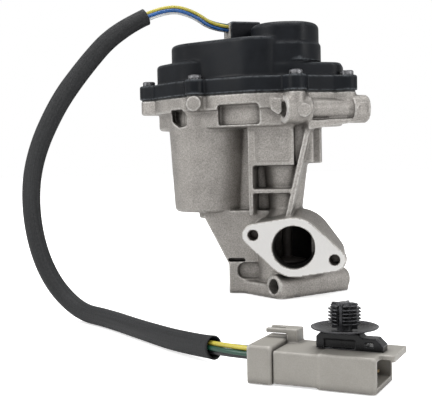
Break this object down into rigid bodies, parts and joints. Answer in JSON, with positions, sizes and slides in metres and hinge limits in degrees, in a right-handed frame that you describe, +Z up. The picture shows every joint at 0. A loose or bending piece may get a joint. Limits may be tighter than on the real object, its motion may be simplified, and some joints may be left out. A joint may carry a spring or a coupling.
{
  "type": "exhaust gas recirculation valve",
  "caption": "Motor-driven exhaust gas valve: cast body with side outlet flange, stepped gear cover, and a sleeved pigtail with connector and push-in clip.",
  "frame": {"origin": "valve stem's axis at the plane of the base", "axes": "+Z up the stem, -Y out of the outlet flange, -X toward the motor"},
  "size_m": [0.1963, 0.265, 0.1707],
  "materials": {
    "cast_aluminium": "sand cast, grainy",
    "black_plastic": "fine satin",
    "grey_plastic": "satin",
    "light_plastic": "satin",
    "gasket_rubber": "matt",
    "seal_rubber": "matt",
    "black_screw": "black zinc",
    "zinc_steel": "zinc plated",
    "bright_steel": "ground",
    "stainless": "turned",
    "bronze": "sintered",
    "gear_plastic": "natural",
    "magnet": "sintered",
    "board": "solder mask",
    "sleeve_fabric": "ribbed heat shrink",
    "wire_skin": "satin",
    "clip_plastic": "satin"
  },
  "bodies": {
    "root": {"housing_casting": "cast_aluminium", "cover_gasket": "gasket_rubber", "gear_cover": "black_plastic", "cable_grommet": "light_plastic", "cover_screws": "black_screw", "motor_can": "zinc_steel", "motor_rear_bush": "bronze", "motor_magnets": "magnet", "motor_end_plate": "black_plastic", "motor_front_bush": "bronze", "motor_screws": "zinc_steel", "intermediate_axle": "bright_steel", "sensor_board": "board", "guide_sleeve": "bright_steel", "valve_seat": "stainless", "stem_guide_bush": "bronze", "stem_seal": "seal_rubber", "return_spring": "bright_steel", "outlet_wires": "wire_skin", "harness_sleeve": "sleeve_fabric", "plug_wires": "wire_skin", "plug_collar": "grey_plastic", "plug_housing": "grey_plastic", "plug_terminals": "bronze", "clip_bracket": "clip_plastic", "tree_clip": "clip_plastic"},
    "rotor": {"motor_shaft": "bright_steel", "motor_armature": "magnet", "motor_pinion": "bronze"},
    "intermediate": {"intermediate_gear": "gear_plastic"},
    "output": {"output_gear": "gear_plastic", "cam_barrel": "bright_steel", "sensor_magnet": "magnet"},
    "valve": {"valve_stem": "stainless", "valve_head": "stainless", "spring_retainer": "bright_steel", "roller_pin": "bright_steel", "cam_rollers": "bright_steel"}
  },
  "joints": [
    {"name": "output_turn", "type": "hinge", "parent": "root", "child": "output", "pos_m": [0, 0, 0], "axis": [0, 0, -1], "range_deg": [0, 75]},
    {"name": "intermediate_turn", "type": "hinge", "parent": "root", "child": "intermediate", "pos_m": [-0.02197, 0.0139, 0], "axis": [0, 0, -1], "range_deg": [-250.01, 0]},
    {"name": "motor_turn", "type": "hinge", "parent": "root", "child": "rotor", "pos_m": [-0.0475, 0.012, 0], "axis": [0, 0, -1], "range_deg": [0, 1083.34]},
    {"name": "valve_lift", "type": "slide", "parent": "root", "child": "valve", "axis": [0, 0, 1], "range_m": [0, 0.007], "deforming": ["return_spring"]}
  ],
  "couplings": [
    {"joint": "output_turn", "follows": "valve_lift", "rad_per_m": 186.99},
    {"joint": "intermediate_turn", "follows": "valve_lift", "rad_per_m": -623.3},
    {"joint": "motor_turn", "follows": "valve_lift", "rad_per_m": 2701}
  ]
}
